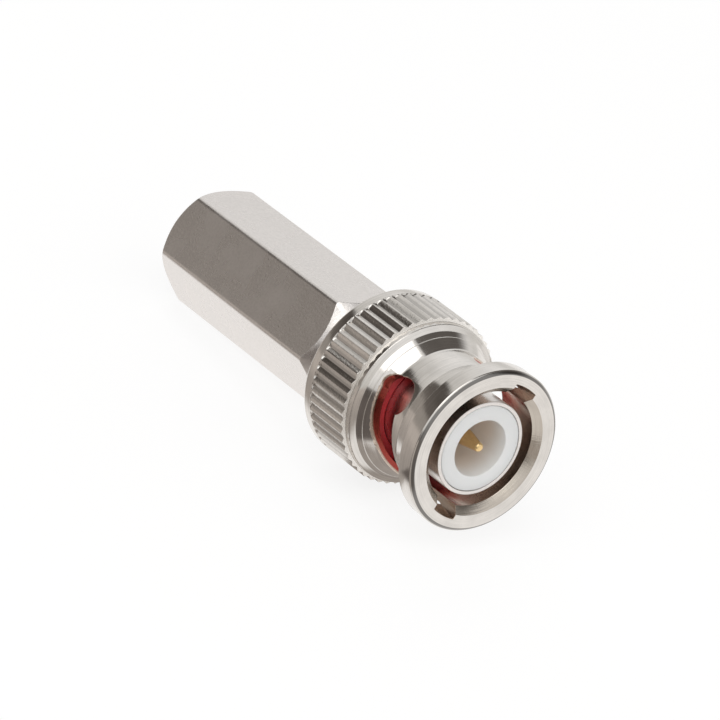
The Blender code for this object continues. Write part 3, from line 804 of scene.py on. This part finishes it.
def scoop_lift(distance):
    """How far a round cutter has risen out of the groove this close to the groove's end."""
    if distance >= REAR_SCOOP:
        return 0.0
    sphere = (REAR_SCOOP ** 2 + GROOVE_DEPTH ** 2) / (2 * GROOVE_DEPTH)
    travel = REAR_SCOOP - max(distance, 0.0)
    return sphere - math.sqrt(max(sphere ** 2 - travel ** 2, 0.0))


def knurled(radius, depth, angle):
    """The ring's radius with the knurl's grooves taken out."""
    if abs(radius - KNURL_RADIUS) > SAME_RADIUS or not KNURL_FRONT <= depth <= GROOVE_REAR:
        return radius
    offset = (angle - KNURL_PHASE) % KNURL_PITCH
    if offset < FLANK_TURN:
        share = offset / FLANK_TURN
    else:
        share = (KNURL_PITCH - offset) / (KNURL_PITCH - FLANK_TURN)
    flank = share - FLANK_BOW * math.sin(FULL_TURN * share) / FULL_TURN
    return KNURL_RADIUS - max(GROOVE_DEPTH * flank - scoop_lift(GROOVE_REAR - depth), 0.0)


def knurl_angles():
    """Columns of the ring's mesh, close together on the ridges' crests and in the grooves."""
    long_flank = KNURL_PITCH - FLANK_TURN
    angles = []
    for number in range(KNURL_COUNT):
        crest = KNURL_PHASE + KNURL_PITCH * number
        next_crest = crest + KNURL_PITCH
        angles += [crest + share * FLANK_TURN for share in COLUMN_SHARES]
        angles.append(next_crest - long_flank)
        angles += [next_crest - share * long_flank for share in COLUMN_SHARES[:0:-1]]
    return angles


def outer_radius(depth):
    """The ring's outer radius between its flange and its knurl."""
    return BARREL_RADIUS + NOSE_SLOPE * max(depth - NOSE_START, 0.0)


def jagged(angle, depth):
    """Width of the deburred edge, which wanders a little."""
    place = Vector((angle * WANDERS_A_RADIAN, depth * WANDERS_A_MILLIMETRE, WANDER_SLICE))
    return SLOT_EDGE * (1.0 + WANDER_SHARE * noise.noise(place))


def ramp_section(angle, front, rear):
    """Section of the slot's cutter: plain walls that flare where they come out of the barrel."""
    points = []
    for depth, direction in ((front, -1), (rear, 1)):
        edge = jagged(angle, depth)
        skin = outer_radius(depth)
        side = [(CUT_INNER, depth), (skin - edge, depth)]
        side += [(skin + edge, depth + direction * 2 * edge), (CUT_OUTER, depth + direction * 2 * edge)]
        points += side if direction < 0 else side[::-1]
    return points


def ramp_cutter(entry_angle):
    """The slot's slanting stretch, from the end of its entry to its closed end."""
    half = SLOT_WIDTH / 2
    sections = []
    for step in range(SLOT_STEPS + 1):
        share = step / SLOT_STEPS
        angle = entry_angle - SLOT_TURN * share
        bow = SLOT_REAR_BOW * math.sin(math.pi * share)
        front = SLOT_ENTRY_END - half + SLOT_RISE * share
        rear = SLOT_ENTRY_END + half + SLOT_REAR_RISE * share + bow
        section = ramp_section(angle, front, rear)
        sections.append([(r * math.cos(angle), r * math.sin(angle), -depth) for r, depth in section])
    return loft(sections)


def hole_cutter(radius, entry_angle, middle, outer):
    """A round cutter square to the axis, flared where it comes out of the barrel."""
    sections = []
    turn = Matrix.Rotation(entry_angle, 3, "Z")
    for level in range(4):
        section = []
        for step in range(HOLE_STEPS):
            bearing = FULL_TURN * step / HOLE_STEPS
            edge = jagged(entry_angle + bearing, middle)
            reach = radius + (2 * edge if level > 1 else 0.0)
            side = reach * math.sin(bearing)
            depth = middle + reach * math.cos(bearing)
            skin = math.sqrt(outer_radius(depth) ** 2 - side ** 2)
            heights = (CUT_INNER, skin - edge, skin + edge, max(outer, skin + 2 * edge))
            section.append(turn @ Vector((heights[level], side, -depth)))
        sections.append(section)
    return loft(sections)


def entry_cutter(entry_angle, stations):
    """A stretch of the straight entry, through its (depth, roof radius, deburred edge) stations."""
    turn = Matrix.Rotation(entry_angle, 3, "Z")
    sections = []
    for depth, top, edge in stations:
        half = SLOT_WIDTH / 2 + edge
        roof = top + edge
        span = math.asin(half / roof)
        section = [(CUT_INNER, -half), (CUT_INNER, half)]
        for step in range(ROOF_STEPS + 1):
            bearing = span - 2 * span * step / ROOF_STEPS
            section.append((roof * math.cos(bearing), roof * math.sin(bearing)))
        sections.append([turn @ Vector((x, y, -depth)) for x, y in section])
    return loft(sections)


def slot_cutters(entry):
    """The cutters of one bayonet slot: its mouth, entry, bend, ramp, closed end and detent."""
    narrowing = (SLOT_MOUTH - SLOT_THROAT) / SLOT_THROAT_DEPTH
    mouth = [
        (-SLOT_LEAD, SLOT_MOUTH, SLOT_MOUTH_EDGE),
        (0.0, SLOT_MOUTH, SLOT_MOUTH_EDGE),
        (SLOT_MOUTH_EDGE_DEPTH, SLOT_MOUTH, 0.0),
        (SLOT_THROAT_DEPTH + SLOT_OVERLAP, SLOT_THROAT - narrowing * SLOT_OVERLAP, 0.0),
    ]
    behind = [(SLOT_THROAT_DEPTH, SLOT_ROOF, 0.0), (SLOT_ENTRY_END, SLOT_ROOF, 0.0)]
    return [
        entry_cutter(entry, mouth),
        entry_cutter(entry, behind),
        hole_cutter(SLOT_WIDTH / 2, entry, SLOT_ENTRY_END, SLOT_ROOF),
        ramp_cutter(entry),
        hole_cutter(SLOT_HOLE_RADIUS, entry - SLOT_TURN, SLOT_HOLE_DEPTH, CUT_OUTER),
        hole_cutter(DETENT_RADIUS, entry - DETENT_TURN, DETENT_DEPTH, CUT_OUTER),
    ]


def ring_finish(face):
    """A face's material: 0 on the ring's outside and end faces, 1 on its mouth's cone, 2 inside."""
    centre = face.calc_center_median()
    depth = -centre.z
    radial = Vector((centre.x, centre.y, 0.0))
    outward = face.normal.dot(radial) >= OUTWARD_SHARE * radial.length
    if outward or radial.length >= MOUTH_RADIUS + CONE_MARGIN:
        return 0
    if not FACE_SKIN < depth < RING_LENGTH - REAR_SKIN:
        return 0
    return 1 if depth < MOUTH_DEPTH - CONE_MARGIN else 2


def make_coupling_ring(outside, mouth_cone, inside):
    """The bayonet ring: turned, knurled, and cut by its two slots."""
    bm = turned(rounded(ring_corners(), steps=4), knurl_angles(), knurled)
    for face in bm.faces:
        face.material_index = ring_finish(face)
    ring = new_object("coupling_ring_shell", bm, [outside, mouth_cone, inside])
    cut(ring, slot_cutters(SLOT_ENTRY_ANGLE) + slot_cutters(SLOT_ENTRY_ANGLE + math.pi))
    finish_piece(ring, "ring", "coupling_ring")


def threaded(radius, depth, angle):
    """The cable bore's radius with its coarse thread, which runs out at both ends."""
    start = CAVITY_END + WEB_THICKNESS + CABLE_FLOOR_SLOPE + THREAD_MARGIN
    end = PLUG_LENGTH - THREAD_MARGIN
    if abs(radius - CABLE_BORE) > SAME_RADIUS or not start <= depth <= end:
        return radius
    turn = (depth / THREAD_PITCH - angle / FULL_TURN) % 1.0
    crest = max(0.0, 1.0 - abs(turn - 0.5) * THREAD_STEEPNESS)
    fade = min(1.0, (depth - start) / THREAD_RUN_OUT, (end - depth) / THREAD_RUN_OUT)
    return radius - THREAD_HEIGHT * fade * crest ** THREAD_CREST_POWER


def hexagon_section(height):
    """The drawn bar's section: six flats with rounded corners."""
    section = []
    centre = (HEX_APOTHEM - HEX_ROUND) / math.cos(math.radians(30))
    for number in range(6):
        corner = math.radians(60 * number + 30)
        for step in range(HEX_CORNER_STEPS + 1):
            bearing = corner + math.radians(60 * (step / HEX_CORNER_STEPS - 0.5))
            x = centre * math.cos(corner) + HEX_ROUND * math.cos(bearing)
            y = centre * math.sin(corner) + HEX_ROUND * math.sin(bearing)
            section.append((x, y, height))
    return section


def make_plug_body(material):
    """The body: a hexagonal bar turned down to its collar, neck and outer contact sleeve."""
    corner_front = HEX_CONE_DEPTH + HEX_CORNER_RADIUS - COLLAR_RADIUS
    corner_rear = PLUG_LENGTH - (HEX_CORNER_RADIUS - REAR_FACE_RADIUS)
    web_rear = CAVITY_END + WEB_THICKNESS
    mouth_edge = CABLE_MOUTH - CABLE_BORE
    outline = rounded([
        (SLEEVE_BORE, SLEEVE_TIP, SOFT_ROUND),
        (SLEEVE_RADIUS, SLEEVE_TIP, SLEEVE_TIP_ROUND),
        (SLEEVE_RADIUS, SNAP_GROOVE_FRONT, FINE_ROUND),
        (SNAP_GROOVE_RADIUS, SNAP_GROOVE_FRONT, FINE_ROUND),
        (SNAP_GROOVE_RADIUS, SNAP_GROOVE_REAR, FINE_ROUND),
        (SLEEVE_RADIUS, SNAP_GROOVE_REAR, FINE_ROUND),
        (SLEEVE_RADIUS, COLLAR_DEPTH, FINE_ROUND),
        (COLLAR_RADIUS, COLLAR_DEPTH, SOFT_ROUND),
        (COLLAR_RADIUS, HEX_CONE_DEPTH, SOFT_ROUND),
        (HEX_CORNER_RADIUS, corner_front, HEX_CONE_ROUND),
        (HEX_CORNER_RADIUS, corner_rear, HEX_CONE_ROUND),
        (REAR_FACE_RADIUS, PLUG_LENGTH, REAR_FACE_ROUND),
        (CABLE_MOUTH, PLUG_LENGTH, FINE_ROUND),
        (CABLE_BORE, PLUG_LENGTH - mouth_edge, SOFT_ROUND),
    ])
    bore_start = web_rear + CABLE_FLOOR_SLOPE
    last_row = PLUG_LENGTH - THREAD_LAST_ROW
    row_step = THREAD_PITCH / THREAD_ROWS
    row_count = int((last_row - bore_start) / row_step)
    outline += [(CABLE_BORE, last_row - row_step * row) for row in range(row_count)]
    inner = rounded([
        (CABLE_BORE, bore_start, SOFT_ROUND),
        (WEB_HOLE, web_rear, SOFT_ROUND),
        (WEB_HOLE, CAVITY_END, FINE_ROUND),
        (CAVITY_RADIUS, CAVITY_END, FINE_ROUND),
        (CAVITY_RADIUS, SLEEVE_BORE_END, FINE_ROUND),
        (SLEEVE_BORE, SLEEVE_BORE_END, FINE_ROUND),
        (SLEEVE_BORE, SLEEVE_TIP, 0.0),
    ])
    outline += inner[:-1]
    bm = turned(outline, even_angles(BODY_COLUMNS), threaded)
    body = new_object("plug_body_shell", bm, [material])
    front = hexagon_section(HEX_CUT_MARGIN)
    rear = hexagon_section(-PLUG_LENGTH - HEX_CUT_MARGIN)
    cut(body, [loft([front, rear])], "INTERSECT")
    finish_piece(body, "plug", "plug_body", BODY_CREASE)


def make_front_insulator(material):
    """The white insulator that fills the sleeve, with the pin's hole and the pin's collar seat."""
    front_radius = SLEEVE_BORE - INSULATOR_FIT
    rear_radius = CAVITY_RADIUS - INSULATOR_FIT
    step = SLEEVE_BORE_END - INSULATOR_GAP
    pin_hole = PIN_RADIUS + INSULATOR_FIT
    collar_hole = PIN_COLLAR_RADIUS + INSULATOR_FIT
    collar_seat = PIN_COLLAR_FRONT - INSULATOR_GAP
    outline = rounded([
        (INSULATOR_BORE, SLEEVE_TIP, INSULATOR_BORE_ROUND),
        (front_radius, SLEEVE_TIP, INSULATOR_RIM_ROUND),
        (front_radius, step, FINE_ROUND),
        (rear_radius, step, FINE_ROUND),
        (rear_radius, INSULATOR_REAR, FINE_ROUND),
        (collar_hole, INSULATOR_REAR, FINE_ROUND),
        (collar_hole, collar_seat, FINE_ROUND),
        (pin_hole, collar_seat, 0.0),
        (pin_hole, INSULATOR_FLOOR, FINE_ROUND),
        (INSULATOR_BORE, INSULATOR_FLOOR, INSULATOR_FLOOR_ROUND),
    ])
    bm = turned(outline, even_angles(MOULDING_COLUMNS))
    insulator = new_object("front_insulator_moulding", bm, [material])
    finish_piece(insulator, "plug", "front_insulator")


def make_centre_pin(material):
    """The gold contact: a blunt tapered tip, a collar, and a slit socket for the cable's core."""
    tip_end = PIN_TIP + PIN_TIP_ROUND
    socket_floor = PIN_TAIL_END - PIN_SOCKET_DEPTH
    outline = [(0.0, PIN_TIP)]
    for step in range(PIN_TIP_STEPS + 1):
        angle = QUARTER * (step / PIN_TIP_STEPS - 1)
        radius = PIN_TIP_RADIUS - PIN_TIP_ROUND + PIN_TIP_ROUND * math.cos(angle)
        outline.append((radius, tip_end + PIN_TIP_ROUND * math.sin(angle)))
    outline += rounded([
        (PIN_TIP_RADIUS, tip_end + PIN_TIP_STRAIGHT, 0.0),
        (PIN_RADIUS, PIN_TIP + PIN_TAPER, PIN_TAPER_ROUND),
        (PIN_RADIUS, PIN_COLLAR_FRONT, FINE_ROUND),
        (PIN_COLLAR_RADIUS, PIN_COLLAR_FRONT, SOFT_ROUND),
        (PIN_COLLAR_RADIUS, PIN_COLLAR_REAR, SOFT_ROUND),
        (PIN_TAIL_RADIUS, PIN_COLLAR_REAR, FINE_ROUND),
        (PIN_TAIL_RADIUS, PIN_TAIL_END, PIN_TAIL_ROUND),
        (PIN_SOCKET_RADIUS, PIN_TAIL_END, PIN_TAIL_ROUND),
        (PIN_SOCKET_RADIUS, socket_floor, 0.0),
        (0.0, socket_floor - PIN_SOCKET_RADIUS, 0.0),
    ])
    bm = turned(outline, even_angles(PIN_COLUMNS), closed=False)
    pin = new_object("centre_pin_contact", bm, [material])
    slit = bmesh.new()
    slit_middle = (PIN_SLIT_LENGTH - PIN_SLIT_OVERRUN) / 2 - PIN_TAIL_END
    slit_size = (PIN_SLIT_SPAN, PIN_SLIT_WIDTH, PIN_SLIT_LENGTH + PIN_SLIT_OVERRUN, 1.0)
    placing = Matrix.Translation((0.0, 0.0, slit_middle)) @ Matrix.Diagonal(slit_size)
    bmesh.ops.create_cube(slit, size=1.0, matrix=placing)
    cut(pin, [slit])
    finish_piece(pin, "plug", "centre_pin")


def make_face_gasket(material):
    """The red ring at the root of the outer contact sleeve."""
    inner = SLEEVE_RADIUS + INSULATOR_FIT
    outline = rounded([
        (inner, GASKET_FRONT, GASKET_EDGE),
        (GASKET_OUTER, GASKET_FRONT, GASKET_ROUND),
        (GASKET_OUTER, GASKET_REAR, GASKET_EDGE),
        (inner, GASKET_REAR, SOFT_ROUND),
    ], steps=5)
    bm = turned(outline, even_angles(MOULDING_COLUMNS))
    gasket = new_object("face_gasket_moulding", bm, [material])
    finish_piece(gasket, "plug", "face_gasket")


def make_wave_washer(name, front, body, material):
    """A strip pressed into waves, which would flatten against its flat washer as the ring is pulled;
    here it keeps its waves.
    """
    strip_front = front + (WAVE_HEIGHT - WAVE_STRIP) / 2
    strip_rear = front + (WAVE_HEIGHT + WAVE_STRIP) / 2
    outline = rounded([
        (WASHER_INNER, strip_front, WASHER_ROUND),
        (WASHER_OUTER, strip_front, WASHER_ROUND),
        (WASHER_OUTER, strip_rear, WASHER_ROUND),
        (WASHER_INNER, strip_rear, WASHER_ROUND),
    ])
    bm = turned(outline, even_angles(WASHER_COLUMNS))
    swing = (WAVE_HEIGHT - WAVE_STRIP) / 2
    for vert in bm.verts:
        vert.co.z += swing * math.cos(WAVE_COUNT * math.atan2(vert.co.y, vert.co.x))
    washer = new_object(name + "_strip", bm, [material])
    finish_piece(washer, body, name)
    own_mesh(washer)


def dress_plain_nodes(materials):
    """Give the CAD nodes that stay in view their finished materials."""
    for name, material in materials.items():
        obj = frame["nodes"][name]
        obj.data.materials.clear()
        obj.data.materials.append(material)


def make_camera():
    camera = bpy.data.cameras.new("photo_camera")
    camera.lens = CAMERA_LENS
    camera.sensor_width = CAMERA_SENSOR
    obj = bpy.data.objects.new("photo_camera", camera)
    turn = Euler([math.radians(angle) for angle in CAMERA_TURN])
    obj.matrix_world = Matrix.LocRotScale(Vector(CAMERA_PLACE), turn, None)
    bpy.context.scene.collection.objects.link(obj)
    bpy.context.scene.camera = obj


def near_direction(tree, direction, vector, inner, outer):
    """1 near a direction and 0 away from it; inner and outer are angles in degrees."""
    target = Vector(direction).normalized()
    settings = {"operation": "DOT_PRODUCT"}
    dot = new_node(tree, "ShaderNodeVectorMath", settings, i0=vector, i1=target).outputs["Value"]
    return smooth_range(tree, dot, math.cos(math.radians(outer)), math.cos(math.radians(inner)))


def make_world():
    """A white studio. Metal mirrors a dark opening at the left, a dark panel behind the plug and a
    dark apron low in front of it; the camera itself sees plain white."""
    world = bpy.data.worlds.new("white_studio")
    world.use_nodes = True
    bpy.context.scene.world = world
    tree = world.node_tree
    background = tree.nodes["Background"]
    vector = new_node(tree, "ShaderNodeTexCoord").outputs["Generated"]
    x, y, z = new_node(tree, "ShaderNodeSeparateXYZ", Vector=vector).outputs
    left = near_direction(tree, OPENING_DIRECTION, vector, *OPENING_ANGLES)
    around = near_direction(tree, OPENING_DIRECTION, vector, *DIM_WALL_ANGLES)
    above = near_direction(tree, CEILING_DIRECTION, vector, *CEILING_ANGLES)
    panel_sides = times(tree, smooth_range(tree, x, *PANEL_RIGHT), smooth_range(tree, x, *PANEL_LEFT))
    panel_height = times(tree, smooth_range(tree, y, *PANEL_BEHIND), smooth_range(tree, z, *PANEL_FOOT))
    behind = times(tree, panel_sides, panel_height)
    before = near_direction(tree, APRON_DIRECTION, vector, *APRON_ANGLES)
    beneath = times(tree, before, smooth_range(tree, z, *APRON_TOP))
    wall = mix_colour(tree, smooth_range(tree, z, *WALL_RISE), LOW_WALL, HIGH_WALL)
    room = mix_colour(tree, around, wall, DIM_WALL)
    room = mix_colour(tree, above, room, CEILING)
    room = mix_colour(tree, behind, room, DARK_PANEL)
    room = mix_colour(tree, beneath, room, DARK_APRON)
    dark = mix_colour(tree, smooth_range(tree, z, *OPENING_RISE), OPENING_MIDDLE, OPENING_ABOVE)
    opening = mix_colour(tree, smooth_range(tree, z, *OPENING_FOOT), OPENING_BELOW, dark)
    room = mix_colour(tree, left, room, opening)
    camera_ray = new_node(tree, "ShaderNodeLightPath").outputs["Is Camera Ray"]
    tree.links.new(mix_colour(tree, camera_ray, room, WHITE), background.inputs["Color"])
    background.inputs["Strength"].default_value = 1.0


def mirrored_table(tree):
    """The table as metal mirrors it: pale behind the plug, with a painted brown-grey shadow in front
    of it and in a strip under the knurl's front end, and one dark wedge of painted shadow that widens
    away from the plug."""
    position = new_node(tree, "ShaderNodeTexCoord").outputs["Object"]
    parts = new_node(tree, "ShaderNodeSeparateXYZ", Vector=position).outputs
    along = parts[0]
    outward = times(tree, parts[1], -1.0)
    # Painted shadow: the mirrored table darkens in front of the plug, beside it and in a wedge
    in_front = smooth_range(tree, outward, *SHADE_OUTWARD)
    beside = smooth_range(tree, distance_from(tree, along, SHADE_MIDDLE), *SHADE_BESIDE)
    shaded = maths(tree, "MAXIMUM", in_front, beside)
    shade = mix_colour(tree, smooth_range(tree, outward, *SHADE_FADE), SHADE_NEAR, SHADE_FAR)
    reach = minus(tree, outward, WEDGE_OUTWARD)
    aside = minus(tree, minus(tree, along, WEDGE_ALONG), times(tree, reach, WEDGE_LEAN))
    length = maths(tree, "MAXIMUM", reach, WEDGE_SHORTEST)
    spread = maths(tree, "DIVIDE", maths(tree, "ABSOLUTE", aside), length)
    within = smooth_range(tree, spread, *WEDGE_SPREAD)
    wedge = times(tree, within, smooth_range(tree, outward, *WEDGE_TIP))
    mirrored = mix_colour(tree, shaded, TABLE_MIRRORED, shade)
    return mix_colour(tree, wedge, mirrored, SHADOW_WEDGE_COLOUR)


def make_floor():
    """A white table that keeps a soft shadow. Mirrored in metal, it shows its painted glow alone."""
    bm = bmesh.new()
    bmesh.ops.create_grid(bm, x_segments=TABLE_SQUARES, y_segments=TABLE_SQUARES, size=TABLE_HALF)
    material = bpy.data.materials.new("white_table")
    material.use_nodes = True
    tree = material.node_tree
    tree.nodes.clear()
    output = new_node(tree, "ShaderNodeOutputMaterial")
    path = new_node(tree, "ShaderNodeLightPath").outputs
    by_camera = path["Is Camera Ray"]
    by_metal = path["Is Glossy Ray"]
    seen = maths(tree, "MAXIMUM", by_camera, by_metal)
    glow = mix_colour(tree, by_metal, TABLE_GLOW, mirrored_table(tree))
    albedo = mix_colour(tree, by_camera, TABLE_BOUNCE, TABLE_SEEN)
    albedo = mix_colour(tree, by_metal, albedo, BLACK)
    diffuse = new_node(tree, "ShaderNodeBsdfDiffuse", Color=albedo).outputs[0]
    emission = new_node(tree, "ShaderNodeEmission", Color=glow, Strength=seen).outputs[0]
    both = new_node(tree, "ShaderNodeAddShader", i0=diffuse, i1=emission).outputs[0]
    tree.links.new(both, output.inputs["Surface"])
    floor = new_object("table", bm, [material])


def make_lamp(name, place, size, power):
    """A square softbox that faces the middle of the table."""
    lamp = bpy.data.lights.new(name, "AREA")
    lamp.shape = "SQUARE"
    lamp.size = size
    lamp.energy = power
    obj = bpy.data.objects.new(name, lamp)
    obj.location = place
    obj.rotation_euler = (-Vector(place)).to_track_quat("-Z", "Y").to_euler()
    bpy.context.scene.collection.objects.link(obj)


bpy.context.scene.view_settings.view_transform = "Standard"
make_camera()
make_world()
make_floor()
make_lamp("overhead_softbox", LAMP_PLACE, LAMP_SIZE, LAMP_POWER)

steel = spring_steel()
make_coupling_ring(
    turned_nickel("bright_nickel_plate", NICKEL, 0.12, line_height=0.005, grain=3.0),
    # The mouth's darker plate is painted shade
    turned_nickel("mouth_nickel_painted_shade", MOUTH_NICKEL_PAINTED_SHADE, 0.2, line_height=0.008, chatter=1.2),
    # The bore's plate carries the gasket's painted red reflection
    turned_nickel("bore_nickel_plate", BORE_NICKEL, 0.2, line_height=0.006, chatter=1.2, gasket_reflection=True),
)
make_plug_body(satin_nickel())
make_front_insulator(white_plastic())
make_centre_pin(gold_plate())
make_face_gasket(red_silicone())
make_wave_washer("wave_washer_front", WAVE_FRONT_DEPTH, "plug", steel)
make_wave_washer("wave_washer_rear", WAVE_REAR_DEPTH, "ring_stage", steel)
dress_plain_nodes({
    "rear_insulator": natural_plastic(),
    "snap_ring": steel,
    "front_washer": steel,
    "middle_washer": steel,
    "thrust_washer": steel,
})
